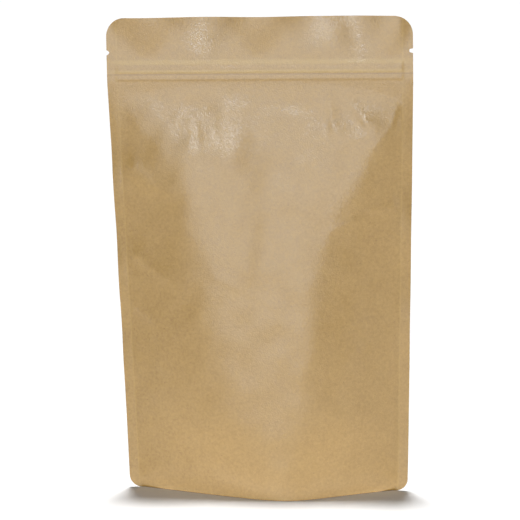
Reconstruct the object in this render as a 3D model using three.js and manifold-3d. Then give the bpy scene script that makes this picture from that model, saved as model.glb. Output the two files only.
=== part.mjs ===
// A kraft paper stand-up pouch: shut with its press-to-close zip, puffed open below it, and
// standing on the rim of its bottom fold. It is one closed solid in millimetres, +Z up, with the
// front towards -Y and the origin on the floor in the middle of the base.
//
// The outside is two sheets, front and back, sampled on one grid of rows (heights) and columns
// (places across). Each sheet stands off the middle plane by half the film plus the bulge, the
// zip's tracks and the folds. The folded bottom is then cut out of the solid from below.

import * as THREE from "three";
import { mergeVertices } from "three/addons/utils/BufferGeometryUtils.js";
import Module from "manifold-3d";

const wasm = await Module();
wasm.setup();

// Driving dimensions.
const WIDTH = 180; // across the flat top
const HEIGHT = 285; // standing
const DEPTH = 26.5; // from the middle plane to the front or back of the base
const FILM = 0.8; // both sheets together where they are sealed
const SEAL = 6.5; // width of the side seals
const SEAL_TURN = 0.4; // share of a rounded corner that the seal's inner edge follows
const TOP_RADIUS = 11;
const BASE_RADIUS = 8.5;
const WIDTH_LOST = 11.5; // how much narrower the base is, as its sheets bow outwards

// The zip, measured down from the top edge.
const ZIP_TOP = 24; // upper edge of its flange
const ZIP_TRACKS = [30.7, 34.6]; // middle of each track
const ZIP_FOOT = 36.5; // where the sheets part
const TRACK_HALF = 1.75; // half the width of a track
const TRACK_SIDE = 0.7; // width of its sloping side
const TRACK_RISE = 0.9;
const FLANGE_RISE = 0.25;
const CRUSHED = 0.25; // share of the zip's thickness that is left in the side seals

// Tear notches, one in each side.
const NOTCH_DOWN = 20.3; // below the top edge
const NOTCH_HALF = 1.35; // half its height at the mouth
const NOTCH_DEEP = 2.1;

// The bottom fold, which is sealed to the sheets below an arc.
const FOLD_HEIGHT = 50; // of the folded edge, when flat
const SKIRT = 8; // sealed height at the middle of the base
const SKIRT_WALL = 1.2;
const ARC_POWER = 3.2; // how late the arc turns up towards the sides
const FOLD_REACH = 66; // how far to each side the hollow goes
const CREASE_HALF = 0.15; // half the thickness of the hollow at its crease
const TIGHT = 0.3; // least half thickness of the hollow below that

// The form of the bulge.
const BULGE_TOP = HEIGHT - ZIP_FOOT;
const LEAN = 1.3; // power that makes the sheets lean back a little more towards the zip
const SHOULDER = 1.35; // power that rounds the turn from flank to front
const CROWN = 0.08; // share of the bulge that is one plain bow from seal to seal

// Where each flank turns into the front, as [height, place across]. At the base the two turns
// meet in a soft keel.
const FRONT_TURNS = {
  left: [[0, 12], [50, -14], [89, -33], [144, -45], [190, -47], [216, -62], [BULGE_TOP, -80]],
  right: [[0, 12], [50, 24], [95, 35], [150, 36], [174, 50], [198, 66], [222, 78], [BULGE_TOP, 81]],
};
const BACK_TURNS = {
  left: [[0, -9], [50, -24], [95, -38], [150, -44], [190, -52], [220, -70], [BULGE_TOP, -80]],
  right: [[0, -9], [50, 18], [95, 36], [150, 40], [190, 50], [216, 66], [BULGE_TOP, 81]],
};

// The puff of film just below the zip: how far it stands out, its height and half its length.
const PUFF = { rise: 2, z: 222, half: 20, fade: 8 };

// Folds as lines across a sheet, [place across, height]: a ridge where rise is above 0, a dent
// below 0. Reach is how far it fades to each side.
const FRONT_FOLDS = [
  { line: [[-86, 238], [-59, 202]], rise: -2.4, reach: 8 },
  { line: [[-80, 187], [-60, 175]], rise: -1.6, reach: 7 },
  { line: [[-79, 133], [-57, 120]], rise: -1.6, reach: 7 },
  { line: [[-79, 106], [-66, 96], [-68, 76]], rise: -1.5, reach: 7 },
  { line: [[80, 165], [55, 158], [42, 151]], rise: -1.5, reach: 6 },
  { line: [[-30, 243], [-46, 226]], rise: -1.3, reach: 6 },
  { line: [[-29, 232], [-31, 216], [-23, 201], [-10, 203]], rise: 1.4, reach: 7 },
  { line: [[-52, 222], [-42, 207]], rise: 1.1, reach: 7 },
  { line: [[13, 235], [34, 220], [52, 212], [66, 216]], rise: 1.5, reach: 7 },
  { line: [[42, 246], [41, 221]], rise: 1.1, reach: 5 },
  { line: [[44, 244], [50, 230], [60, 218]], rise: 1.1, reach: 5 },
  { line: [[21, 244], [29, 231]], rise: -1.2, reach: 5 },
  { line: [[47, 246], [58, 233]], rise: -1.2, reach: 5 },
];
const BACK_FOLDS = [
  { line: [[84, 236], [60, 204]], rise: -2.2, reach: 8 },
  { line: [[79, 170], [58, 160]], rise: -1.6, reach: 7 },
  { line: [[79, 112], [60, 100]], rise: -1.5, reach: 7 },
  { line: [[-84, 232], [-64, 200]], rise: -2, reach: 8 },
  { line: [[-80, 150], [-58, 141]], rise: -1.6, reach: 7 },
  { line: [[-79, 96], [-62, 84]], rise: -1.4, reach: 7 },
  { line: [[-12, 243], [-24, 224], [-42, 212]], rise: 1.3, reach: 7 },
  { line: [[24, 244], [32, 222], [52, 208]], rise: 1.3, reach: 7 },
  { line: [[6, 243], [2, 226]], rise: -1.2, reach: 6 },
];
const FOLD_CORE = 1.6; // how much tighter than its reach a fold's bell is
const FOLD_FADE = 3; // folds die out where the sheet stands out by less than this

// Sway of the middle plane: the loose flap above the zip ripples and the side seals buckle.
const FLAP_WAVES = [
  { rise: 0.8, length: 58, from: 18 },
  { rise: 0.4, length: 33, from: 5 },
];
const FLAP_CALM = 14; // the ripples die out this close to the sides
const SEAL_WAVE = { rise: 1.3, length: 57, low: 60, high: 225, fade: 30, tightness: 8 };

// How finely the sheets are sampled.
const BODY_ROWS = 27;
const CORNER_ROWS = { base: 5, top: 7 };
const HALF_COLUMNS = 13; // from the middle to a seal
const COLUMN_ARC = 1.16; // radians of arc they are spread over, which crowds them to the seal
const FOLD_SECTIONS = 28;
const SKIRT_ROWS = 4;

const clamp = (v, low = 0, high = 1) => Math.min(high, Math.max(low, v));
const ease = (v) => clamp(v) ** 2 * (3 - 2 * clamp(v));
const bell = (v) => Math.exp(-v * v);

// A smooth curve through [place, value] points, flat outside them.
function through(points, place) {
  const last = points.length - 1;
  if (place <= points[0][0]) return points[0][1];
  if (place >= points[last][0]) return points[last][1];
  const i = points.findIndex((point) => point[0] > place) - 1;
  const slope = (a, b) => (points[b][1] - points[a][1]) / (points[b][0] - points[a][0]);
  const span = points[i + 1][0] - points[i][0];
  const t = (place - points[i][0]) / span;
  const rise = t * t * (3 - 2 * t);
  const leave = span * slope(Math.max(0, i - 1), i + 1);
  const arrive = span * slope(i, Math.min(last, i + 2));
  const straight = points[i][1] + rise * (points[i + 1][1] - points[i][1]);
  return straight + t * (1 - t) * ((1 - t) * leave - t * arrive);
}

// How far a rounded corner pulls the side in at this height.
function cornerInset(z) {
  const atTop = z > HEIGHT / 2;
  const radius = atTop ? TOP_RADIUS : BASE_RADIUS;
  const into = atTop ? z - (HEIGHT - radius) : radius - z;
  return into > 0 ? radius - Math.sqrt(Math.max(0, radius ** 2 - into ** 2)) : 0;
}

function notchInset(z) {
  const off = (z - (HEIGHT - NOTCH_DOWN)) / NOTCH_HALF;
  return Math.abs(off) < 1 ? NOTCH_DEEP * Math.sqrt(1 - off * off) : 0;
}

const sideX = (z) => WIDTH / 2 - (WIDTH_LOST / 2) * Math.max(0, 1 - z / BULGE_TOP);
const sealX = (z) => sideX(z) - SEAL - SEAL_TURN * cornerInset(z);

// How far one sheet bows out of the middle plane.
function bulge(x, z, turns) {
  if (z >= BULGE_TOP) return 0;
  const seal = sealX(z);
  const deep = DEPTH * (1 - (z / BULGE_TOP) ** LEAN);
  const left = clamp((x + seal) / (through(turns.left, z) + seal));
  const right = clamp((seal - x) / (seal - through(turns.right, z)));
  const flank = 1 - (1 - Math.min(left, right)) ** SHOULDER;
  const bow = clamp(1 - (x / seal) ** 2);
  const puff = PUFF.rise * bell((z - PUFF.z) / PUFF.half) * ease((BULGE_TOP - z) / PUFF.fade);
  return deep * ((1 - CROWN) * flank + CROWN * bow) + puff * bow;
}

// Distance from a point of the sheet to a fold's line.
function distanceTo(line, x, z) {
  let best = Infinity;
  for (let i = 1; i < line.length; i++) {
    const [[ax, az], [bx, bz]] = [line[i - 1], line[i]];
    const [dx, dz] = [bx - ax, bz - az];
    const t = clamp(((x - ax) * dx + (z - az) * dz) / (dx * dx + dz * dz));
    best = Math.min(best, Math.hypot(x - ax - t * dx, z - az - t * dz));
  }
  return best;
}

function foldRise(x, z, folds) {
  const one = (fold) => fold.rise * bell((FOLD_CORE * distanceTo(fold.line, x, z)) / fold.reach);
  return folds.reduce((sum, fold) => sum + one(fold), 0);
}

// The zip's flange and two tracks, crushed flat inside the side seals.
function zipRise(x, z) {
  const down = HEIGHT - z;
  if (down < ZIP_TOP || down > ZIP_FOOT) return 0;
  const one = (middle) => clamp((TRACK_HALF - Math.abs(down - middle)) / TRACK_SIDE);
  const track = Math.max(...ZIP_TRACKS.map(one));
  const full = CRUSHED + (1 - CRUSHED) * ease((sealX(z) - Math.abs(x)) / TRACK_HALF);
  return full * (FLANGE_RISE + (TRACK_RISE - FLANGE_RISE) * track);
}

const wave = ({ rise, length, from = 0 }, place) =>
  rise * Math.sin((2 * Math.PI * (place - from)) / length);

// Y of the middle plane.
function middleY(x, z) {
  const up = ease((z - (HEIGHT - ZIP_TOP)) / ZIP_TOP);
  const inside = ease((WIDTH / 2 - Math.abs(x)) / FLAP_CALM);
  const flap = FLAP_WAVES.reduce((sum, one) => sum + wave(one, x), 0);
  const { low, high, fade, tightness } = SEAL_WAVE;
  const buckled = ease((z - low) / fade) * ease((high - z) / fade);
  const nearSide = clamp(Math.abs(x) / sideX(z)) ** tightness * Math.sign(x);
  return up * inside * flap + buckled * nearSide * wave(SEAL_WAVE, z);
}

// Y of the outer face of a sheet: side is -1 for the front and 1 for the back.
function faceY(x, z, side) {
  const [turns, folds] = side < 0 ? [FRONT_TURNS, FRONT_FOLDS] : [BACK_TURNS, BACK_FOLDS];
  const open = bulge(x, z, turns);
  const folded = foldRise(x, z, folds) * clamp(open / FOLD_FADE);
  return middleY(x, z) + side * (FILM / 2 + Math.max(0, open + folded) + zipRise(x, z));
}

// Heights of the rows through one rounded corner, from its edge inwards.
function cornerRows(count, radius) {
  const at = (i) => radius * (1 - Math.cos((i * Math.PI) / 2 / count));
  return Array.from({ length: count }, (_, i) => at(i));
}

// Heights of all rows: close together at the corners, the notches and the zip.
function rowHeights() {
  const heights = cornerRows(CORNER_ROWS.base, BASE_RADIUS);
  heights.push(...cornerRows(CORNER_ROWS.top, TOP_RADIUS).map((down) => HEIGHT - down));
  for (const part of [-1.02, -0.98, -0.7, 0, 0.7, 0.98, 1.02]) {
    heights.push(HEIGHT - NOTCH_DOWN + part * NOTCH_HALF);
  }
  for (const middle of ZIP_TRACKS) {
    for (const off of [TRACK_HALF, TRACK_HALF - TRACK_SIDE]) {
      heights.push(HEIGHT - middle - off, HEIGHT - middle + off);
    }
  }
  for (const [edge, off] of [[ZIP_TOP, -0.3], [ZIP_TOP, 0.3], [ZIP_FOOT, 0.4], [ZIP_FOOT, 3]]) {
    heights.push(HEIGHT - edge - off);
  }
  const span = BULGE_TOP - TRACK_HALF * 4 - BASE_RADIUS;
  for (let i = 0; i <= BODY_ROWS; i++) heights.push(BASE_RADIUS + (span * i) / BODY_ROWS);
  return heights.sort((a, b) => a - b);
}

// Places across one row, from the left edge to the right one.
function rowPlaces(z) {
  const edge = sideX(z) - cornerInset(z);
  const inner = Math.min(sealX(z), edge - 1.5 * FILM);
  const half = [];
  for (let i = 1; i <= HALF_COLUMNS; i++) {
    half.push((inner * Math.sin((i / HALF_COLUMNS) * COLUMN_ARC)) / Math.sin(COLUMN_ARC));
  }
  const cut = edge - notchInset(z);
  half.push((inner + cut) / 2, cut);
  return [...half.map((x) => -x).reverse(), 0, ...half];
}

// A closed solid between a front and a back grid of points with the same rows and columns.
function solidBetween(front, back) {
  const [rows, columns] = [front.length, front[0].length];
  const at = (row, column, sheet) => (sheet * rows + row) * columns + column;
  const [top, end] = [rows - 1, columns - 1];
  const index = [];
  const quad = (a, b, c, d) => index.push(a, b, c, a, c, d);
  for (let r = 0; r < top; r++) {
    for (let c = 0; c < end; c++) {
      quad(at(r, c, 0), at(r, c + 1, 0), at(r + 1, c + 1, 0), at(r + 1, c, 0));
      quad(at(r, c, 1), at(r + 1, c, 1), at(r + 1, c + 1, 1), at(r, c + 1, 1));
    }
    quad(at(r, 0, 0), at(r + 1, 0, 0), at(r + 1, 0, 1), at(r, 0, 1));
    quad(at(r, end, 0), at(r, end, 1), at(r + 1, end, 1), at(r + 1, end, 0));
  }
  for (let c = 0; c < end; c++) {
    quad(at(0, c, 0), at(0, c, 1), at(0, c + 1, 1), at(0, c + 1, 0));
    quad(at(top, c, 0), at(top, c + 1, 0), at(top, c + 1, 1), at(top, c, 1));
  }
  return solidFrom([...front, ...back].flat(2), index);
}

function solidFrom(positions, index) {
  const geometry = new THREE.BufferGeometry()
    .setAttribute("position", new THREE.Float32BufferAttribute(positions, 3))
    .setIndex(index);
  const merged = mergeVertices(geometry);
  const mesh = new wasm.Mesh({
    numProp: 3,
    vertProperties: merged.getAttribute("position").array,
    triVerts: new Uint32Array(merged.index.array),
  });
  return new wasm.Manifold(mesh);
}

function shutPouch() {
  const sheet = (side) =>
    rowHeights().map((z) => rowPlaces(z).map((x) => [x, faceY(x, z, side), z]));
  return solidBetween(sheet(-1), sheet(1));
}

// One upright section of the hollow under the base, as front and back points from below the
// floor up the inside of the skirt, then up the leaf of the fold to its crease.
function foldSection(x) {
  const arcTop = SKIRT + (FOLD_HEIGHT - SKIRT) * (Math.abs(x) / sealX(FOLD_HEIGHT)) ** ARC_POWER;
  const inner = (z, side) => side * Math.max(TIGHT, side * faceY(x, z, side) - SKIRT_WALL);
  const half = (inner(arcTop, 1) - inner(arcTop, -1)) / 2;
  const leaf = FOLD_HEIGHT - arcTop;
  const crease = arcTop + Math.sqrt(leaf ** 2 - half ** 2);
  return [-1, 1].map((side) => {
    const wall = [[x, inner(0, side), -SKIRT]];
    for (let i = 0; i <= SKIRT_ROWS; i++) {
      const z = (arcTop * i) / SKIRT_ROWS;
      wall.push([x, inner(z, side), z]);
    }
    return [...wall, [x, side * CREASE_HALF, crease]];
  });
}

function hollowOfFold() {
  const places = Array.from({ length: FOLD_SECTIONS + 1 }, (_, i) => (2 * i) / FOLD_SECTIONS - 1);
  const sections = places.map((place) => foldSection(FOLD_REACH * place));
  // The sections run from left to right, and the solid wants rows that run upwards.
  const rows = (side) => sections[0][side].map((_, i) => sections.map((walls) => walls[side][i]));
  return solidBetween(rows(0), rows(1));
}

function meshOf(name, solid, material) {
  const { vertProperties, triVerts } = solid.getMesh();
  const geometry = new THREE.BufferGeometry()
    .setAttribute("position", new THREE.BufferAttribute(vertProperties, 3))
    .setIndex(new THREE.BufferAttribute(triVerts, 1));
  geometry.computeVertexNormals();
  const mesh = new THREE.Mesh(geometry, material);
  mesh.name = name;
  return mesh;
}

const kraft = new THREE.MeshStandardMaterial({ color: 0xbda277, roughness: 0.55, metalness: 0 });

const pouch = new THREE.Group();
pouch.add(meshOf("pouch", shutPouch().subtract(hollowOfFold()), kraft));

export default pouch;
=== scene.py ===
"""A kraft paper stand-up pouch on a pale floor: the modelled skin, its paper, lights and camera.

The skin is one closed mesh of two sheets, front and back, sampled on a grid of rows (heights) and
columns (places across), and of the folded bottom between them. Its functions work in millimetres,
with the front towards -Y, and mesh_object() turns them into metres.
"""
import math

import bmesh
import bpy
import numpy as np
from mathutils import Matrix, Vector


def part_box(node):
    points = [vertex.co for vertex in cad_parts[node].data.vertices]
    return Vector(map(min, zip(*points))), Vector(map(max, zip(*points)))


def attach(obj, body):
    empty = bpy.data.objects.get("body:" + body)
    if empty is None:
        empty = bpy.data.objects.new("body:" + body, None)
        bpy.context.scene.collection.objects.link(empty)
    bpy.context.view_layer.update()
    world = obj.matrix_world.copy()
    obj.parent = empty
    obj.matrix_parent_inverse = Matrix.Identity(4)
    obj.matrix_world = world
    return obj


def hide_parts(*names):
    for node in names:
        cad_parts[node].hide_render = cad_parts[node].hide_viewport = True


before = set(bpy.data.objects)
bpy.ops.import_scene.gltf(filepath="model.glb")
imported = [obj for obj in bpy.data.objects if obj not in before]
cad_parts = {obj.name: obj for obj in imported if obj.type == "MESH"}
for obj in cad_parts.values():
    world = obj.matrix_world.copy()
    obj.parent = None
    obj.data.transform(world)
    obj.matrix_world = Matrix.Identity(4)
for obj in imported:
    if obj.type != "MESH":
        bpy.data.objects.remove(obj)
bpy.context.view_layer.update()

MM = 0.001
LEFT, RIGHT = -1, 1
FRONT, BACK = -1, 1

# Main sizes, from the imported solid's box.
low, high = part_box("pouch")
WIDTH = (high.x - low.x) / MM
HEIGHT = (high.z - low.z) / MM
DEPTH = 26.5  # how far each sheet bows out at its foot
FILM = 0.36  # thickness of both sheets together
SEAL = 5.9  # width of the side seals
SEAL_TURN = 0.4  # share of a rounded corner that the seal's inner edge follows
TOP_RADIUS = 11
BASE_RADIUS = 7.5
WIDTH_LOST = 11.5  # how much narrower the base is
FOOT_TURN = {LEFT: 1.0, RIGHT: 2.5}  # how far the seals' lower ends turn to the front
FOOT_REACH = 45  # over what height
SIDE_POWER = 8  # how close to the sides the seals' bends stay
# How far the seals' outer edges bend back, as (height, distance).
SEAL_BACK = {
    LEFT: [(0, 0.1), (40, 0.5), (80, 0.9), (215, 1.0), (240, 0.3), (252, 0)],
    RIGHT: [(0, 0.2), (40, 0.5), (120, 0.6), (160, 1.0), (220, 1.0), (240, 0.3), (252, 0)],
}
SEAL_BACK_POWER = 1.3
# The side seals' buckles: half height, length of a wave, heights between which they lie, and fade.
SEAL_WAVE = 0.9
SEAL_WAVE_LENGTH = 57
SEAL_WAVE_ENDS = (60, 225)
SEAL_WAVE_FADE = 30

# The zip, measured down from the top edge. Each track: middle, reach upwards, reach downwards, rise.
ZIP_TOP = 24.0
ZIP_FOOT = 37.4
FLANGE_RISE = 0.12
FLANGE_START, FLANGE_END = 4, 1.4  # over how far the flange rises at its top and falls at its foot
ZIP_TRACKS = ((31.3, 3.6, 1.8, 0.13), (35.0, 2.2, 2.6, 0.07))
TRACK_POWER = 1.5
CRUSHED = 0.15  # share of the zip's rise that is left inside the side seals
CRUSH_REACH = 2

# The tear notches.
NOTCH_DOWN = 20.3
NOTCH_HALF = {LEFT: 1.45, RIGHT: 1.25}
NOTCH_DEEP = {LEFT: 1.7, RIGHT: 2.1}
NOTCH_POWER = {LEFT: 1.3, RIGHT: 5.0}  # the left one is pointed, the right one is round-ended
NOTCH_END = 1 / 1.6  # how bluntly both end

# The bottom fold.
FOLD_HEIGHT = 50  # how high it reaches at the side seals
FOLD_GAP = 0.05  # the least distance of a skirt's inner face from the middle plane
SKIRT = 8  # how high the skirts are in the middle
ARC_POWER = 2.6  # how late the skirts' upper edge, the arc seal, rises towards the sides
ARC_RISE = 0.1  # the ridge along the arc seal
ARC_HALF = 1.2  # its half width
ARC_START, ARC_FADE = 15, 40  # how far from the middle it starts, and over how far it sets in

# The bulge of each sheet below the zip.
BULGE_TOP = HEIGHT - ZIP_FOOT
LEAN = 1.12  # above 1 each sheet's profile, from zip to foot, bows outwards
SOFT_START = 12  # how gently each sheet leaves the zip
CORNER_FLAT = 13  # how far below the zip the sheets stay together at the sides
CORNER_POWER = 3  # how close to the sides that stays
CROWN = 0.12  # share of the bulge that is an even bow from seal to seal


def ease(v):
    """A smooth step from 0 to 1."""
    v = np.clip(v, 0, 1)
    return v * v * (3 - 2 * v)


def bell(v):
    """One at zero, fading to nothing on both sides."""
    return np.exp(-v * v)


def smooth_min(a, b, blend):
    """The lesser of two values, rounded where they cross."""
    share = np.clip(0.5 + 0.5 * (b - a) / blend, 0, 1)
    return b + (a - b) * share - blend * share * (1 - share)


def through(points, place):
    """A smooth curve through (place, value) points, flat outside them."""
    xs = np.array([p[0] for p in points], float)
    ys = np.array([p[1] for p in points], float)
    place = np.clip(place, xs[0], xs[-1])
    i = np.clip(np.searchsorted(xs, place, side="right") - 1, 0, len(xs) - 2)
    before, after = np.maximum(i - 1, 0), np.minimum(i + 2, len(xs) - 1)
    span = xs[i + 1] - xs[i]
    t = (place - xs[i]) / span
    leave = span * (ys[i + 1] - ys[before]) / (xs[i + 1] - xs[before])
    arrive = span * (ys[after] - ys[i]) / (xs[after] - xs[i])
    straight = ys[i] + t * t * (3 - 2 * t) * (ys[i + 1] - ys[i])
    return straight + t * (1 - t) * ((1 - t) * leave - t * arrive)


def corner_inset(z):
    """How far a rounded corner pulls the side in at this height."""
    radius = np.where(z > HEIGHT / 2, TOP_RADIUS, BASE_RADIUS)
    into = np.where(z > HEIGHT / 2, z - (HEIGHT - radius), radius - z)
    into = np.clip(into, 0, radius)
    return radius - np.sqrt(radius**2 - into**2)


def notch_inset(z, side):
    """How far a tear notch cuts into the side at this height."""
    off = np.abs(z - (HEIGHT - NOTCH_DOWN)) / NOTCH_HALF[side]
    return NOTCH_DEEP[side] * np.clip(1 - off ** NOTCH_POWER[side], 0, 1) ** NOTCH_END


def side_x(z):
    """Half the pouch's width at this height, leaving out corners and notches."""
    return WIDTH / 2 - (WIDTH_LOST / 2) * np.clip(1 - z / BULGE_TOP, 0, 1)


def seal_x(z):
    """How far from the middle the side seals begin."""
    return side_x(z) - SEAL - SEAL_TURN * corner_inset(z)


# Where each flank turns into the middle panel, as (height, place across).
TURNS = {
    FRONT: {
        LEFT: [(0, 6), (15, -3), (30, -13), (45, -25), (60, -32), (100, -38), (145, -41), (178, -46),
               (200, -53), (212, -57), (222, -61), (232, -69), (242, -79), (BULGE_TOP, -83)],
        RIGHT: [(0, 19), (15, 22), (28, 27), (38, 33), (50, 38), (70, 41), (140, 41), (158, 44), (172, 51),
                (185, 59), (200, 67), (212, 73), (222, 79), (BULGE_TOP, 83)],
    },
    BACK: {
        LEFT: [(0, -12), (25, -22), (48, -36), (150, -43), (190, -52), (220, -70), (BULGE_TOP, -83)],
        RIGHT: [(0, 0), (22, 8), (45, 30), (95, 38), (150, 41), (190, 50), (216, 66), (BULGE_TOP, 83)],
    },
}
# How softly it turns, as (height, share of the flank's width).
TURN_BLEND = {
    LEFT: [(0, 0.2), (60, 0.5), (110, 0.5), (150, 0.42), (200, 0.34), (BULGE_TOP, 0.3)],
    RIGHT: [(0, 0.2), (60, 0.55), (110, 0.52), (150, 0.46), (200, 0.5), (BULGE_TOP, 0.45)],
}
KEEL_BLEND = 0.1  # how softly the two flanks meet where no panel is left between them
# How hollow the right flank is, as (height, power); at 1 it is flat.
FLANK_POWER = [(0, 1.0), (40, 1.05), (140, 1.1), (195, 1.0)]

# Below the zip each sheet puffs out further, more in one half than in the other. Across the sheet: by
# how much, the height at which it starts and the lower one at which it is complete.
PUFF_RISE = {
    FRONT: [(-80, 1.7), (-62, 1.7), (-48, 2.0), (-22, 2.1), (4, 0.6), (24, 0.6), (80, 0.75)],
    BACK: [(-80, 0.75), (-14, 0.7), (20, 2.1), (50, 2.0), (80, 1.8)],
}
PUFF_START = {
    FRONT: [(-80, 244), (-64, 243), (-50, 237), (-38, 238), (-22, 246), (-12, 243), (0, 240), (12, 242),
            (25, 233), (43, 229), (60, 229), (75, 227)],
    BACK: [(-80, 228), (-60, 229), (-30, 232), (-12, 241), (4, 238), (24, 240), (44, 232), (80, 240)],
}
PUFF_END = {
    FRONT: [(-80, 206), (-64, 206), (-50, 203), (-38, 203), (-18, 202), (-6, 200), (8, 204), (25, 210),
            (43, 209), (75, 208)],
    BACK: [(-80, 206), (-60, 208), (-25, 210), (-8, 204), (8, 200), (30, 203), (46, 207), (80, 204)],
}
# The shallow valley between the lobes: place across, reach on its two sides, depth.
VALLEYS = {FRONT: (9, 14, 30, 0.2), BACK: (-10, 30, 14, 0.2)}
VALLEY_FOOT = 110
VALLEY_HEAD = 200
VALLEY_FADE = 12  # over how far below the zip it sets in

# Creases as lines across a sheet: points (place across, height), rise at the first and at the last
# of them, and how far the crease fades to the left and to the right of the line as it runs.
CREASES = {
    FRONT: [
        # down the left flank
        ([(-80, 244), (-76, 226), (-67, 214), (-56, 206)], 0.5, 0.1, 7, 7),
        ([(-76, 196), (-67, 188), (-55, 183)], 1.15, 0.7, 10, 5),
        ([(-75, 143), (-63, 134), (-50, 127)], 1.1, 0.5, 10, 5),
        ([(-78, 113), (-65, 105), (-62, 92), (-63, 78)], 0.8, 0.5, 10, 5),
        # down the right flank
        ([(79, 173), (66, 171)], 0.5, 0.4, 3, 6),
        ([(55, 166), (42, 160)], 0.5, 0.4, 8, 4),
        # gathers below the left of the zip
        ([(-31, 247), (-39, 242), (-46, 234), (-50, 225)], 0.3, 0.15, 4, 3),
        ([(-37, 224), (-35.5, 210), (-34, 200)], -0.15, -0.12, 2.5, 4),
        ([(-26, 229), (-27, 221), (-24, 213)], -0.05, -0.12, 3, 2.5),
        # gathers below the right of it
        ([(40, 247), (41, 235), (43, 220)], 0.45, 0.6, 10, 2.8),
        ([(47, 247), (52, 236), (62, 223)], 0.3, 0.6, 9, 2.6),
        ([(62, 224), (72, 221)], 0.1, 0.1, 4, 4),
        ([(44, 207), (55, 213), (68, 218)], 0.12, 0.2, 6, 3),
        # the panel's faint diagonal crease
        ([(-28, 134), (6, 117)], 0.2, 0.15, 9, 4),
    ],
    BACK: [
        ([(84, 238), (74, 217), (58, 206)], 0.8, 1.3, 5, 14),
        ([(79, 172), (62, 162)], 1.1, 0.6, 5, 10),
        ([(79, 118), (60, 106)], 0.9, 0.5, 5, 10),
        ([(-83, 236), (-75, 214), (-60, 204)], 0.8, 1.3, 14, 5),
        ([(-80, 152), (-60, 143)], 1.0, 0.5, 10, 5),
        ([(-79, 98), (-62, 86)], 0.9, 0.5, 10, 5),
        ([(34, 247), (45, 238), (52, 224)], 0.5, 1.1, 4, 3),
        ([(-12, 245), (-22, 232), (-40, 224)], 0.3, 1.0, 5, 3),
        ([(-47, 247), (-52, 233), (-66, 222)], 0.2, 1.1, 3, 3),
    ],
}
# Pockets and lumps of the film: place across, height, half width, half height, rise.
LUMPS = {
    FRONT: [
        (-39, 235, 10, 6, -0.45),
        (-45, 207, 7, 8, 0.2),
        (-18, 204, 12, 8, 0.25),
        (-14, 244, 10, 4, -0.2),
        (22, 235, 11, 6, -0.35),
        (57, 239, 6, 4, -0.5),
        (-33.6, 243, 4, 3, 0.5),
        (39.5, 242, 3, 3, 0.25),
        (60, 243, 5, 3, 0.4),
    ],
    BACK: [
        (42, 231, 8, 6, -0.9),
        (-33, 237, 9, 6, -1.1),
        (-60, 234, 7, 7, -1.0),
    ],
}
RELIEF_DEPTH = 1.2  # the bulge at which the relief is at its full height
RELIEF_FOOT = 20  # the height over which it sets in above the foot

# The profile of a crease: how round its top is, how fast it falls and how far it reaches.
CREASE_ROUND = 0.3
CREASE_FALL = 1.6
CREASE_END = 2.4

# The loose flap above the zip leans back or forward in fans that open upwards: place across, height
# of the fan's foot, how fast it opens, and its lean backwards.
FLAP_FANS = [
    (-66, 261, 0.65, -0.11),
    (-32, 259, 0.65, 0.085),
    (0, 261, 0.6, -0.1),
    (31, 263, 0.55, 0.066),
    (58, 258, 0.45, 0.078),
    (78, 261, 0.5, -0.075),
]
FAN_FOOT = 6  # a fan's half width at its foot
FAN_START = 3  # how gently it leaves its foot
FAN_FADE = 8  # over how far the fans fade out at the sides
FLAP_LEAN = 0.06  # how fast the whole flap leans back

# The paper's slight random buckling.
CRUMPLE_RISE = 0.26
CRUMPLE_LENGTHS = (14, 48)
CRUMPLE_WAVES = 26
SEEDS = {FRONT: 4, BACK: 9}


def crumple(x, z, side):
    """Slight random buckling of the paper: many plane waves with seeded directions."""
    random = np.random.default_rng(SEEDS[side])
    shortest, longest = CRUMPLE_LENGTHS
    total = np.zeros(x.shape)
    for length in np.geomspace(shortest, longest, CRUMPLE_WAVES):
        turn, start = random.uniform(0, 2 * np.pi, 2)
        phase = (x * np.cos(turn) + z * np.sin(turn)) * 2 * np.pi / length + start
        total += (length / longest) * np.sin(phase)
    return CRUMPLE_RISE * total / math.sqrt(CRUMPLE_WAVES)


def bulge(x, z, side):
    """How far one sheet bows out of the middle plane."""
    seal = seal_x(z)
    top = BULGE_TOP - CORNER_FLAT * np.clip(np.abs(x) / seal, 0, 1) ** CORNER_POWER
    down = np.clip(top - z, 0, BULGE_TOP)
    start = down / (down + SOFT_START) * (BULGE_TOP + SOFT_START) / BULGE_TOP
    deep = DEPTH * (1 - np.clip(z / BULGE_TOP, 0, 1) ** LEAN) * start
    left = (x + seal) / (through(TURNS[side][LEFT], z) + seal)
    right = (seal - x) / (seal - through(TURNS[side][RIGHT], z))
    right = np.clip(right, 0, None) ** through(FLANK_POWER, z)
    share = np.clip(0.5 + 0.5 * (left - right), 0, 1)
    blend = through(TURN_BLEND[LEFT], z) * (1 - share) + through(TURN_BLEND[RIGHT], z) * share
    flank = smooth_min(smooth_min(left, right, KEEL_BLEND), 1, blend)
    flank = np.clip(flank, 0, None)
    bow = np.clip(1 - (x / seal) ** 2, 0, 1)
    return deep * ((1 - CROWN) * flank + CROWN * bow) + puff(x, z, side) * flank


def puff(x, z, side):
    """The extra fullness below the zip, less the valley between its lobes."""
    start, end = through(PUFF_START[side], x), through(PUFF_END[side], x)
    into = ease((start - z) / (start - end)) * ease(z / VALLEY_HEAD)
    middle, left_reach, right_reach, depth = VALLEYS[side]
    over = (x - middle) / np.where(x < middle, left_reach, right_reach)
    length = ease((z - VALLEY_FOOT) / (VALLEY_HEAD - VALLEY_FOOT)) * ease((BULGE_TOP - z) / VALLEY_FADE)
    return into * through(PUFF_RISE[side], x) - depth * bell(over) * length


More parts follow.
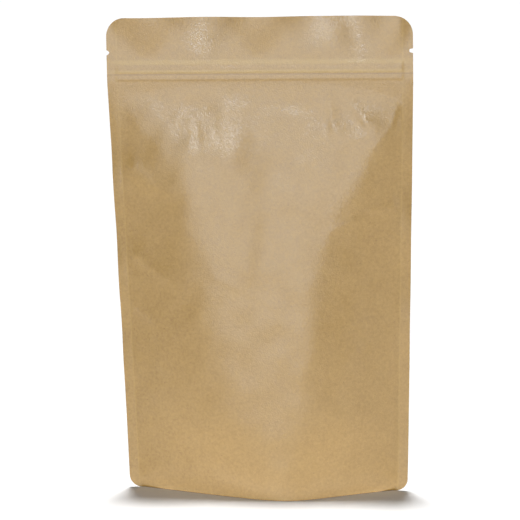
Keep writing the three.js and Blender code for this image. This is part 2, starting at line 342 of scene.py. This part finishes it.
def crease_rise(x, z, line, first, last, left_reach, right_reach):
    """A crease's height: highest along its line, fading to both sides and over its ends."""
    whole = sum(math.dist(a, b) for a, b in zip(line, line[1:]))
    best = np.full(x.shape, np.inf)
    signed = np.zeros(x.shape)
    along = np.zeros(x.shape)
    gone = 0
    for (ax, az), (bx, bz) in zip(line, line[1:]):
        dx, dz = bx - ax, bz - az
        length = math.hypot(dx, dz)
        t = np.clip(((x - ax) * dx + (z - az) * dz) / length**2, 0, 1)
        away = np.hypot(x - ax - t * dx, z - az - t * dz)
        nearer = away < best
        best = np.where(nearer, away, best)
        signed = np.where(nearer, (dx * (z - az) - dz * (x - ax)) / length, signed)
        along = np.where(nearer, (gone + t * length) / whole, along)
        gone += length
    # Past the line's ends the side is unclear, so the two reaches blend there.
    lean = np.clip(signed / np.maximum(best, 1e-6), -1, 1) * 0.5 + 0.5
    off = best / (right_reach + (left_reach - right_reach) * ease(lean))
    shape = np.exp(CREASE_ROUND * CREASE_FALL - CREASE_FALL * np.sqrt(off**2 + CREASE_ROUND**2))
    return (first + (last - first) * along) * shape * bell(off / CREASE_END)


def relief(x, z, side):
    """Creases, pockets and buckles of one sheet below the zip."""
    total = crumple(x, z, side)
    for crease in CREASES[side]:
        total = total + crease_rise(x, z, *crease)
    for at_x, at_z, half_x, half_z, rise in LUMPS[side]:
        total = total + rise * bell(np.hypot((x - at_x) / half_x, (z - at_z) / half_z))
    return total


def zip_rise(x, z):
    """The zip's flange and two tracks, crushed flat inside the side seals."""
    down = HEIGHT - z
    rise = FLANGE_RISE * ease((down - ZIP_TOP) / FLANGE_START) * ease((ZIP_FOOT - down) / FLANGE_END)
    for middle, above, below, track in ZIP_TRACKS:
        off = np.clip((down - middle) / np.where(down < middle, above, below), -1, 1)
        rise = rise + track * (1 - off**2) ** TRACK_POWER
    inside = ease((seal_x(z) - np.abs(x)) / CRUSH_REACH + 0.5)
    return (CRUSHED + (1 - CRUSHED) * inside) * rise


def arc_height(x):
    """Height of the seal between a sheet and the bottom fold."""
    return SKIRT + (FOLD_HEIGHT - SKIRT) * np.clip(np.abs(x) / seal_x(FOLD_HEIGHT), 0, 1) ** ARC_POWER


def arc_rise(x, z):
    """The faint ridge where the arc seal ends."""
    return ARC_RISE * bell((z - arc_height(x)) / ARC_HALF) * ease((np.abs(x) - ARC_START) / ARC_FADE)


def flap_y(x, z):
    """How far the flap above the zip leans back, with its fans."""
    total = np.zeros(x.shape)
    for at_x, foot, opening, lean in FLAP_FANS:
        over = np.clip(z - foot, 0, None)
        over = over**2 / (over + FAN_START)
        total = total + lean * over * bell((x - at_x) / (FAN_FOOT + opening * over))
    inside = ease((WIDTH / 2 - np.abs(x)) / FAN_FADE)
    return total * inside + FLAP_LEAN * np.clip(z - BULGE_TOP, 0, None)


def seal_y(x, z):
    """How far back the side seals bend: they buckle, turn to the front at the foot, and curl."""
    near_side = np.clip(np.abs(x) / side_x(z), 0, 1) ** SIDE_POWER
    first, last = SEAL_WAVE_ENDS
    buckled = ease((z - first) / SEAL_WAVE_FADE) * ease((last - z) / SEAL_WAVE_FADE)
    wave = SEAL_WAVE * np.sin(2 * np.pi * z / SEAL_WAVE_LENGTH) * np.sign(x)
    foot = np.where(x < 0, FOOT_TURN[LEFT], FOOT_TURN[RIGHT]) * ease(1 - z / FOOT_REACH)
    curl = np.where(x < 0, through(SEAL_BACK[LEFT], z), through(SEAL_BACK[RIGHT], z))
    into_seal = np.clip((np.abs(x) - seal_x(z)) / SEAL, 0, 1)
    return near_side * (buckled * wave - foot) + curl * into_seal**SEAL_BACK_POWER


def middle_y(x, z):
    """Y of the middle plane, between the two sheets."""
    return flap_y(x, z) + seal_y(x, z)


def face_y(x, z, side):
    """Y of the outer face of a sheet."""
    rise = bulge(x, z, side)
    rise = rise + relief(x, z, side) * np.clip(rise / RELIEF_DEPTH, 0, 1) * ease(z / RELIEF_FOOT)
    rise = rise + arc_rise(x, z) * np.clip(rise, 0, 1)
    return middle_y(x, z) + side * (FILM / 2 + np.maximum(0, rise) + zip_rise(x, z))


# How finely the skin is sampled, in millimetres between rows, and in rows and columns.
ROW_STEP = 1.2
ZIP_STEP = 0.3
TOP_STEP = 1.0
NOTCH_STEP = 0.2
ZIP_MARGIN = 1  # how far beyond the zip and the notches their finer rows reach
NOTCH_MARGIN = 1.6
BASE_CORNER_ROWS = 9
TOP_CORNER_ROWS = 14
COLUMNS = 142  # across a sheet between its seals
CROWDING = 1.1  # how much the columns crowd towards the seals, in radians
SEAL_COLUMNS = 6  # across each seal
SEAL_LEAST = 1  # the least width of a seal inside a rounded corner
SKIRT_ROWS = 7
LEAF_ROWS = 10
SHARP_ANGLE = 50  # edges that turn by more than this stay sharp, in degrees


def spread(start, stop, step):
    """Even places from start to stop, about a step apart."""
    return np.linspace(start, stop, max(2, round((stop - start) / step) + 1))


def corner_rows(count):
    """Distances from a corner's end, from 0 to 1 radius, even along its curve."""
    return 1 - np.cos(np.linspace(0, np.pi / 2, count))


def row_heights():
    """Heights of the sheets' rows, close together where the outline or the relief is fine."""
    zip_low = HEIGHT - ZIP_FOOT - ZIP_MARGIN
    zip_high = HEIGHT - ZIP_TOP + ZIP_MARGIN
    notch_low = HEIGHT - NOTCH_DOWN - NOTCH_MARGIN
    notch_high = HEIGHT - NOTCH_DOWN + NOTCH_MARGIN
    parts = [
        BASE_RADIUS * corner_rows(BASE_CORNER_ROWS),
        spread(BASE_RADIUS, zip_low, ROW_STEP),
        spread(zip_low, zip_high, ZIP_STEP),
        spread(zip_high, notch_low, TOP_STEP),
        spread(notch_low, notch_high, NOTCH_STEP),
        spread(notch_high, HEIGHT - TOP_RADIUS, TOP_STEP),
        HEIGHT - TOP_RADIUS * corner_rows(TOP_CORNER_ROWS),
    ]
    return np.unique(np.round(np.concatenate(parts), 4))


def sheet_grid(heights):
    """X and Z of every point of a sheet: rows by columns."""
    z = heights[:, None]
    edge = side_x(z) - corner_inset(z)
    inner = np.minimum(seal_x(z), edge - SEAL_LEAST)
    across = np.sin(np.linspace(-1, 1, COLUMNS + 1) * CROWDING) / np.sin(CROWDING)
    middle = inner * across[None, :]
    steps = np.linspace(0, 1, SEAL_COLUMNS + 1)[None, 1:]
    right = inner + (edge - notch_inset(z, RIGHT) - inner) * steps
    left = -(inner + (edge - notch_inset(z, LEFT) - inner) * steps)
    x = np.hstack([left[:, ::-1], middle, right])
    return x, np.broadcast_to(z, x.shape).copy()


def skirt_y(x, z, side):
    """Y of a skirt's inner face along a row; at the row's two ends the skirts meet."""
    shut = np.arange(len(x)) % (len(x) - 1) == 0
    middle = middle_y(x, z)
    deep = np.maximum(side * (face_y(x, z, side) - middle) - FILM, FOLD_GAP)
    return np.where(shut, middle, middle + side * deep)


def fold_rows(x):
    """Rows of points from the front rim up the fold to its crease, and down to the back rim."""
    arc_top = SKIRT + (FOLD_HEIGHT - SKIRT) * (np.abs(x) / np.abs(x).max()) ** ARC_POWER
    walls = {}
    for side in (FRONT, BACK):
        wall = []
        for t in np.linspace(0, 1, SKIRT_ROWS):
            wall.append(np.stack([x, skirt_y(x, arc_top * t, side), arc_top * t], 1))
        skirt_top = wall[-1]
        leaf = FOLD_HEIGHT - arc_top
        half = np.abs(skirt_top[:, 1] - middle_y(x, arc_top))
        crease = arc_top + np.sqrt(np.maximum(leaf**2 - half**2, 0))
        end = np.stack([x, middle_y(x, crease), crease], 1)
        for t in np.linspace(0, 1, LEAF_ROWS)[1:]:
            wall.append(skirt_top * (1 - t) + end * t)
        walls[side] = wall
    crease_row = (walls[FRONT][-1] + walls[BACK][-1]) / 2
    return walls[FRONT][:-1] + [crease_row] + walls[BACK][-2::-1]


class Skin:
    """Collects the points and faces of the mesh; cut faces are the film's bare edges."""

    def __init__(self):
        self.points = []
        self.faces = []
        self.cut = []

    def add(self, points):
        """Adds points and returns their numbers."""
        first = len(self.points)
        self.points.extend(points.tolist())
        return np.arange(first, len(self.points))

    def face(self, loop, cut=False):
        """One face; a point that is repeated counts once."""
        kept = [int(v) for i, v in enumerate(loop) if v != loop[i - 1]]
        if len(kept) > 2:
            self.faces.append(kept)
            self.cut.append(cut)

    def strip(self, a, b, cut=False):
        """Quads between two rows of point numbers."""
        for a0, a1, b0, b1 in zip(a, a[1:], b, b[1:]):
            self.face([a0, a1, b1, b0], cut)


def add_sheets(skin):
    """The front and back sheets and the cut edges between them; returns their lowest rows."""
    heights = row_heights()
    x, z = sheet_grid(heights)
    ids = {}
    for side in (FRONT, BACK):
        points = np.stack([x, face_y(x, z, side), z], 2)
        ids[side] = np.array([skin.add(row) for row in points])
    front, back = ids[FRONT], ids[BACK]
    for r in range(len(heights) - 1):
        skin.strip(front[r], front[r + 1])
        skin.strip(back[r], back[r + 1])
    skin.strip(back[:, 0], front[:, 0], cut=True)
    skin.strip(front[:, -1], back[:, -1], cut=True)
    skin.strip(front[-1], back[-1], cut=True)
    return x[0], front[0], back[0]


def add_base(skin, x, front, back):
    """The bottom: a plain cut edge at the seals, and between them the open fold."""
    first, last = SEAL_COLUMNS, SEAL_COLUMNS + COLUMNS
    rows = fold_rows(x[first : last + 1])
    middle = len(rows) // 2
    ids = []
    for r, row in enumerate(rows):
        if r < SKIRT_ROWS:
            ids.append(skin.add(row))
        else:
            # The leaves' ends are one point each, and the back's rows end where the front's do.
            twin = ids[min(2 * middle - r, SKIRT_ROWS - 1)]
            ids.append(np.concatenate([twin[:1], skin.add(row[1:-1]), twin[-1:]]))
    skin.strip(front[first : last + 1], ids[0], cut=True)
    for lower, upper in zip(ids, ids[1:]):
        skin.strip(lower, upper)
    skin.strip(ids[-1], back[first : last + 1], cut=True)
    skin.strip(back[:first], front[:first], cut=True)
    skin.strip(back[last + 1 :], front[last + 1 :], cut=True)
    skin.face([back[first - 1], back[first], ids[0][0], front[first], front[first - 1]], cut=True)
    skin.face([back[last], back[last + 1], front[last + 1], front[last], ids[0][-1]], cut=True)


def mesh_object(name, skin, materials):
    """The skin as an object in metres; its cut faces get the second material."""
    mesh = bpy.data.meshes.new(name)
    mesh.from_pydata((np.array(skin.points) * MM).tolist(), [], skin.faces)
    mesh.polygons.foreach_set("material_index", np.array(skin.cut, dtype=np.int32))
    bm = bmesh.new()
    bm.from_mesh(mesh)
    bmesh.ops.recalc_face_normals(bm, faces=bm.faces)
    bm.to_mesh(mesh)
    bm.free()
    mesh.shade_smooth()
    mesh.set_sharp_from_angle(angle=math.radians(SHARP_ANGLE))
    for material in materials:
        mesh.materials.append(material)
    piece = bpy.data.objects.new(name, mesh)
    bpy.context.scene.collection.objects.link(piece)
    return piece


class Nodes:
    """Short calls for building a material's node tree."""

    def __init__(self, name):
        self.material = bpy.data.materials.new(name)
        self.material.use_nodes = True
        self.tree = self.material.node_tree
        self.shader = self.tree.nodes["Principled BSDF"]
        self.place = self.tree.nodes.new("ShaderNodeTexCoord").outputs["Object"]

    def link(self, source, target):
        self.tree.links.new(source, target)

    def node(self, kind, inputs=(), **settings):
        made = self.tree.nodes.new(kind)
        for key, value in settings.items():
            setattr(made, key, value)
        for key, value in dict(inputs).items():
            if isinstance(value, bpy.types.NodeSocket):
                self.link(value, made.inputs[key])
            else:
                made.inputs[key].default_value = value
        return made

    def noise(self, size, detail, stretch=(1, 1, 1), turn=(0, 0, 0), roughness=0.5):
        """Noise whose features are about size across, in metres."""
        mapped = self.node(
            "ShaderNodeMapping",
            {"Vector": self.place, "Scale": [s / size for s in stretch], "Rotation": turn},
        )
        return self.node(
            "ShaderNodeTexNoise",
            {"Vector": mapped.outputs[0], "Scale": 1.0, "Detail": detail, "Roughness": roughness},
        ).outputs["Fac"]

    def spread(self, value, low, high, to_low=0.0, to_high=1.0):
        """Maps low..high onto to_low..to_high, clamped."""
        return self.node(
            "ShaderNodeMapRange",
            {"Value": value, "From Min": low, "From Max": high, "To Min": to_low, "To Max": to_high},
        ).outputs[0]

    def math(self, operation, a, b):
        return self.node("ShaderNodeMath", {0: a, 1: b}, operation=operation).outputs[0]

    def mix(self, amount, a, b):
        """Colour a turning into colour b as the amount goes from 0 to 1."""
        made = self.node("ShaderNodeMix", data_type="RGBA")
        # A colour mix has its factor in input 0 and its two colours in inputs 6 and 7.
        for socket, value in ((made.inputs[0], amount), (made.inputs[6], a), (made.inputs[7], b)):
            if isinstance(value, bpy.types.NodeSocket):
                self.link(value, socket)
            else:
                socket.default_value = value
        return made.outputs[2]


# Colours of the paper, and of the highlights and shade painted on it.
KRAFT = (0.336, 0.199, 0.050, 1)
KRAFT_DARK = (0.243, 0.136, 0.030, 1)
KRAFT_PALE = (0.422, 0.267, 0.080, 1)
# the dark of the specks, and of the painted shade in the zip's groove
SPECK_AND_GROOVE_SHADE_DARK = (0.17, 0.09, 0.025, 1)
# painted highlight along the zip's ridges and the side seals' inner edges
ZIP_AND_SEAL_HIGHLIGHT = (0.46, 0.307, 0.088, 1)
# painted highlight where the cut edge catches the light
CUT_EDGE_HIGHLIGHT = (0.62, 0.47, 0.22, 1)

# The paper's pulp, clouds, fibres and specks: the size of each in metres, how strongly it shows,
# and the values of the noise between which it sets in.
PULP_SIZE, PULP_ROUGHNESS, PULP_SPAN = 0.0016, 0.6, (0.32, 0.68)
PLAIN_SHARE = 0.55  # how much of the pulp's contrast is evened out
CLOUD_SIZE, CLOUD_SHARE, CLOUD_SPAN = 0.009, 0.16, (0.35, 0.65)
FIBRE_SIZE, FIBRE_SHARE, FIBRE_SPAN = 0.0030, 0.22, (0.66, 0.76)
FIBRE_STRETCH = (9, 3, 1)
FIBRE_TURNS = (0.5, 1.7, 2.6)
SPECK_SIZE, SPECK_SHARE, SPECK_SPAN = 0.0011, 0.35, (0.77, 0.82)
EVEN_SPAN = (0.3, 0.7)  # nearly the whole range of the noise

# The cut edge's fibres and its roughness.
EDGE_FIBRE = 0.0009
EDGE_ROUGHNESS = 0.7

# The clear film over the paper. Its grain has a fine and a coarse part, sizes in metres.
ROUGHNESS_LOW, ROUGHNESS_HIGH = 0.40, 0.54
IOR = 1.5
COAT_WEIGHT = 0.55
COAT_ROUGHNESS = 0.13
FINE_GRAIN = 0.0006
COARSE_GRAIN, COARSE_SHARE = 0.0018, 0.5
FILM_BUMP = 0.000058  # how high the grain is

# Painted highlight where the zip's ridges face upwards, as (height, half width, strength), in millimetres.
ZIP_HIGHLIGHT_BANDS = ((HEIGHT - 26.2, 2.0, 0.45), (HEIGHT - 31.8, 1.5, 0.45))
PALE_SIDES = 0.4  # share of it that is left at the sides of the pouch
PALE_FADE = (8, 2)  # the distances from the sides between which it fades to that
# Painted shade in the groove between the zip's tracks, as (height, half width, strength).
TRACK_GROOVE_SHADE = (HEIGHT - 33.3, 0.6, 0.4)  # the dark groove between the zip's tracks
BAND_CORE = 0.3  # share of a band's half width that has its full strength
# Painted highlight along the ridge at the side seals' inner edge.
SEAL_HIGHLIGHT_LINE = (0.2, 0.7, 0.22)  # the side seals' inner line: core, half width, strength


def height_band(n, height, half, strength):
    """A soft-edged level band of the sheet, in millimetres."""
    z = n.node("ShaderNodeSeparateXYZ", {"Vector": n.place}).outputs["Z"]
    off = n.math("ABSOLUTE", n.math("SUBTRACT", z, height * MM), 0.0)
    return n.spread(off, BAND_CORE * half * MM, half * MM, strength, 0.0)


def painted_zip_and_seal_highlights(n):
    """How much the painted highlight lightens the paper along the zip's ridges and along the inner edge of
    each side seal.
    """
    apart = n.node("ShaderNodeSeparateXYZ", {"Vector": n.place})
    x, z = apart.outputs["X"], apart.outputs["Z"]
    across = n.math("ABSOLUTE", x, 0.0)
    bands = n.math("ADD", *(height_band(n, *pale) for pale in ZIP_HIGHLIGHT_BANDS))
    fade_from, fade_to = ((WIDTH / 2 - gap) * MM for gap in PALE_FADE)
    bands = n.math("MULTIPLY", bands, n.spread(across, fade_from, fade_to, 1.0, PALE_SIDES))
    half_base, half_top = (WIDTH - WIDTH_LOST) / 2 * MM, WIDTH / 2 * MM
    half_width = n.spread(z, 0.0, BULGE_TOP * MM, half_base, half_top)
    inwards = n.math("SUBTRACT", half_width, across)
    off = n.math("ABSOLUTE", n.math("SUBTRACT", inwards, SEAL * MM), 0.0)
    core, edge, strength = SEAL_HIGHLIGHT_LINE
    line = n.spread(off, core * MM, edge * MM, strength, 0.0)
    return n.math("MAXIMUM", bands, line)


def paper_colour(n, pulp):
    """Brown pulp with paler clouds and fibres and dark specks, painted highlights along the zip and the
    seals, and painted shade in the zip's groove.
    """
    colour = n.mix(n.spread(pulp, *PULP_SPAN), KRAFT_DARK, KRAFT_PALE)
    colour = n.mix(PLAIN_SHARE, colour, KRAFT)
    clouds = n.noise(CLOUD_SIZE, detail=3)
    colour = n.mix(n.spread(clouds, *CLOUD_SPAN, 0.0, CLOUD_SHARE), colour, KRAFT_PALE)
    for turn in FIBRE_TURNS:
        fibre = n.noise(FIBRE_SIZE, detail=1, stretch=FIBRE_STRETCH, turn=(0, turn, 0))
        colour = n.mix(n.spread(fibre, *FIBRE_SPAN, 0.0, FIBRE_SHARE), colour, KRAFT_PALE)
    speck = n.noise(SPECK_SIZE, detail=0)
    colour = n.mix(n.spread(speck, *SPECK_SPAN, 0.0, SPECK_SHARE), colour, SPECK_AND_GROOVE_SHADE_DARK)
    # Painted highlights along the zip's ridges and the seals' inner edges.
    colour = n.mix(painted_zip_and_seal_highlights(n), colour, ZIP_AND_SEAL_HIGHLIGHT)
    # Painted shade in the groove between the zip's tracks.
    return n.mix(height_band(n, *TRACK_GROOVE_SHADE), colour, SPECK_AND_GROOVE_SHADE_DARK)


def kraft_paper():
    """Brown kraft under a thin clear film with a fine grain."""
    n = Nodes("kraft_paper")
    pulp = n.noise(PULP_SIZE, detail=3, roughness=PULP_ROUGHNESS)
    n.link(paper_colour(n, pulp), n.shader.inputs["Base Color"])
    rough = n.spread(pulp, *EVEN_SPAN, ROUGHNESS_LOW, ROUGHNESS_HIGH)
    n.link(rough, n.shader.inputs["Roughness"])
    n.shader.inputs["IOR"].default_value = IOR
    n.shader.inputs["Coat Weight"].default_value = COAT_WEIGHT
    n.shader.inputs["Coat Roughness"].default_value = COAT_ROUGHNESS
    fine = n.noise(FINE_GRAIN, detail=0)
    coarse = n.noise(COARSE_GRAIN, detail=0)
    grain = n.math("ADD", fine, n.math("MULTIPLY", coarse, COARSE_SHARE))
    bump = n.node("ShaderNodeBump", {"Strength": 1.0, "Distance": FILM_BUMP, "Height": grain})
    n.link(bump.outputs[0], n.shader.inputs["Normal"])
    n.link(bump.outputs[0], n.shader.inputs["Coat Normal"])
    return n.material


def cut_edge_highlight():
    """The bare edge of the film and paper, painted paler and yellower than the face as the highlight it
    catches.
    """
    n = Nodes("cut_edge_highlight")
    fibres = n.noise(EDGE_FIBRE, detail=2)
    # The paler colour is a painted highlight along the edge.
    colour = n.mix(n.spread(fibres, *EVEN_SPAN), KRAFT, CUT_EDGE_HIGHLIGHT)
    n.link(colour, n.shader.inputs["Base Color"])
    n.shader.inputs["Roughness"].default_value = EDGE_ROUGHNESS
    return n.material


# The floor: how far it reaches in metres, its two near whites, and the size of their clouds.
FLOOR_REACH = 6.0
FLOOR_DARK = (0.86, 0.86, 0.86, 1)
FLOOR_PALE = (0.88, 0.88, 0.88, 1)
FLOOR_CLOUD = 0.4
FLOOR_ROUGHNESS = 0.8
FLOOR_SHINE = 0.2


def floor():
    """A plain pale floor under the pouch."""
    corners = [(x * FLOOR_REACH, y * FLOOR_REACH, 0) for x, y in ((-1, -1), (1, -1), (1, 1), (-1, 1))]
    mesh = bpy.data.meshes.new("floor")
    mesh.from_pydata(corners, [], [(0, 1, 2, 3)])
    n = Nodes("pale_floor")
    colour = n.mix(n.noise(FLOOR_CLOUD, detail=2), FLOOR_DARK, FLOOR_PALE)
    n.link(colour, n.shader.inputs["Base Color"])
    n.shader.inputs["Roughness"].default_value = FLOOR_ROUGHNESS
    n.shader.inputs["Specular IOR Level"].default_value = FLOOR_SHINE
    mesh.materials.append(n.material)
    plane = bpy.data.objects.new("floor", mesh)
    bpy.context.scene.collection.objects.link(plane)


SURROUND = 0.1  # how bright the surround is
OVERHEAD = 1.14  # how bright a white floor is under the overhead light alone
SUN_SPREAD = 3  # each part's angle, in degrees
SUN_PLACE = (0, 0, 2)  # a sun's place makes no difference to its light
# The overhead light's parts, high behind the pouch: azimuth, elevation.
OVERHEADS = [(187, 84.5), (205, 83.8), (169, 83.0), (187, 82.2), (200, 81.4), (174, 81.0)]
# Softboxes: distance, azimuth, elevation, width, height, radiance, colour. The three low ones lie one
# behind the other, so that their joint reflection has a soft edge; at one distance only one would show.
SOFTBOXES = [
    ("low_softbox", 2.04, -8, 5, 1.36, 0.82, 1.3, (1, 1, 1)),
    ("low_softbox", 2.02, -8, 5, 1.14, 0.77, 1.8, (1, 1, 1)),
    ("low_softbox", 2.0, -8, 5, 0.92, 0.72, 1.9, (1, 1, 1)),
    ("key_softbox", 2.0, -6, 17, 0.24, 0.17, 33, (0.86, 0.93, 1)),
    ("side_softbox", 2.0, 47, 1, 0.6, 0.4, 4.0, (1, 1, 1)),
]
# White cards close to the foot: place, direction of their backs, width, height, radiance. Like the
# softboxes, they are in metres.
CARDS = [
    ("foot_card", (0.03, -0.22, 0.03), (0.09, -1, 0), 0.4, 0.05, 0.4),
    ("floor_card", (0, -0.155, 0.002), (0, 0, -1), 0.6, 0.24, 0.42),
]
# Bright strips that lie on the floor along the front's rim and light its foot, in millimetres: the
# places across where one ends and the next begins, and their radiance as (place across, radiance).
STRIP_ENDS = (-86, -58, -30, -6, 12, 24, 44, 66, 86)
STRIP_RADIANCE = [(-86, 1.35), (-30, 1.1), (10, 1.0), (86, 1.6)]
STRIP_DEPTH = 35
STRIP_UNDER = 0.6  # how far they reach under the rim
STRIP_LIFT = 0.3  # how far above the floor they lie
STRIP_OVERLAP = 2  # how much longer each is than its part of the rim


def direction(azimuth, elevation):
    """Towards a place round the object; azimuth 0 is in front and 90 at its right."""
    a, e = math.radians(azimuth), math.radians(elevation)
    return Vector((math.sin(a) * math.cos(e), -math.cos(a) * math.cos(e), math.sin(e)))


def away_from(back):
    """The rotation that makes a lamp shine away from the direction called back."""
    return Vector(back).to_track_quat("Z", "Y").to_euler()


def add_lamp(name, light, place, rotation, colour=(1, 1, 1)):
    """Puts a light in the scene as a lamp that the camera doesn't see."""
    light.color = colour
    lamp = bpy.data.objects.new(name, light)
    lamp.location = place
    lamp.rotation_euler = rotation
    lamp.visible_camera = False
    bpy.context.scene.collection.objects.link(lamp)


def add_sun(name, strength, azimuth, elevation):
    """A distant lamp; its strength is the brightness of a white face turned to it."""
    light = bpy.data.lights.new(name, "SUN")
    light.energy = strength * math.pi
    light.angle = math.radians(SUN_SPREAD)
    add_lamp(name, light, SUN_PLACE, away_from(direction(azimuth, elevation)))


def add_box(name, place, rotation, width, height, radiance, colour=(1, 1, 1)):
    """A rectangular lamp of even brightness, in metres."""
    light = bpy.data.lights.new(name, "AREA")
    light.shape = "RECTANGLE"
    light.size, light.size_y = width, height
    light.energy = radiance * math.pi * width * height
    add_lamp(name, light, place, rotation, colour)


def foot_strips():
    """The strips on the floor in front of the rim, each between two points of it."""
    ends = np.array(STRIP_ENDS, float)
    rim = face_y(ends, np.zeros(ends.shape), FRONT) + STRIP_UNDER
    points = [Vector((x, y, 0)) for x, y in zip(ends, rim)]
    for start, end in zip(points, points[1:]):
        run = end - start
        out = Vector((run.y, -run.x, 0)).normalized()
        place = (start + end) / 2 + out * STRIP_DEPTH / 2 + Vector((0, 0, STRIP_LIFT))
        facing_up = (math.pi, 0, math.atan2(run.y, run.x))
        radiance = float(through(STRIP_RADIANCE, np.array((start.x + end.x) / 2)))
        width = (run.length + STRIP_OVERLAP) * MM
        add_box("foot_strip", place * MM, facing_up, width, STRIP_DEPTH * MM, radiance)


def studio():
    """A faint white surround, an overhead light, softboxes in front, and cards at the foot."""
    world = bpy.data.worlds.new("studio")
    world.use_nodes = True
    world.node_tree.nodes["Background"].inputs["Color"].default_value = (1, 1, 1, 1)
    world.node_tree.nodes["Background"].inputs["Strength"].default_value = SURROUND
    bpy.context.scene.world = world
    bpy.context.scene.view_settings.view_transform = "Standard"
    for azimuth, elevation in OVERHEADS:
        add_sun("overhead", OVERHEAD / len(OVERHEADS), azimuth, elevation)
    middle = Vector((0, 0, HEIGHT * MM / 2))
    for name, distance, azimuth, elevation, width, height, radiance, colour in SOFTBOXES:
        back = direction(azimuth, elevation)
        add_box(name, middle + back * distance, away_from(back), width, height, radiance, colour)
    for name, place, back, width, height, radiance in CARDS:
        add_box(name, place, away_from(back), width, height, radiance)
    foot_strips()


# The camera, fitted to the photograph's outline, in millimetres and degrees.
FRAME_PX = 520
DISTANCE = 1497
AZIMUTH = 7.02
ELEVATION = 11.9
ROLL = 1.30
PX_PER_MM = 1.6883  # where the pouch stands
FOCAL_PX = PX_PER_MM * DISTANCE
MIDDLE_PX = (263.1, 257.2)  # where the middle of the pouch falls in the picture
SENSOR = 36
CLIP_START, CLIP_END = 0.05, 50


def camera():
    """The camera at the photograph's viewing angle."""
    data = bpy.data.cameras.new("camera")
    data.sensor_width = SENSOR
    data.lens = FOCAL_PX / FRAME_PX * SENSOR
    data.shift_x = (FRAME_PX / 2 - MIDDLE_PX[0]) / FRAME_PX
    data.shift_y = (MIDDLE_PX[1] - FRAME_PX / 2) / FRAME_PX
    data.clip_start, data.clip_end = CLIP_START, CLIP_END
    eye = bpy.data.objects.new("camera", data)
    back = direction(AZIMUTH, ELEVATION)
    facing = back.to_track_quat("Z", "Y").to_matrix().to_4x4()
    turn = facing @ Matrix.Rotation(-math.radians(ROLL), 4, "Z")
    target = Vector((0, 0, HEIGHT / 2))
    eye.matrix_world = Matrix.Translation((target + back * DISTANCE) * MM) @ turn
    bpy.context.scene.collection.objects.link(eye)
    bpy.context.scene.camera = eye


def pouch():
    """The whole pouch as one piece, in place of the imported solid."""
    skin = Skin()
    x, front, back = add_sheets(skin)
    add_base(skin, x, front, back)
    piece = mesh_object("pouch_skin", skin, [kraft_paper(), cut_edge_highlight()])
    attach(piece, "root")
    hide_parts("pouch")


pouch()
floor()
studio()
camera()
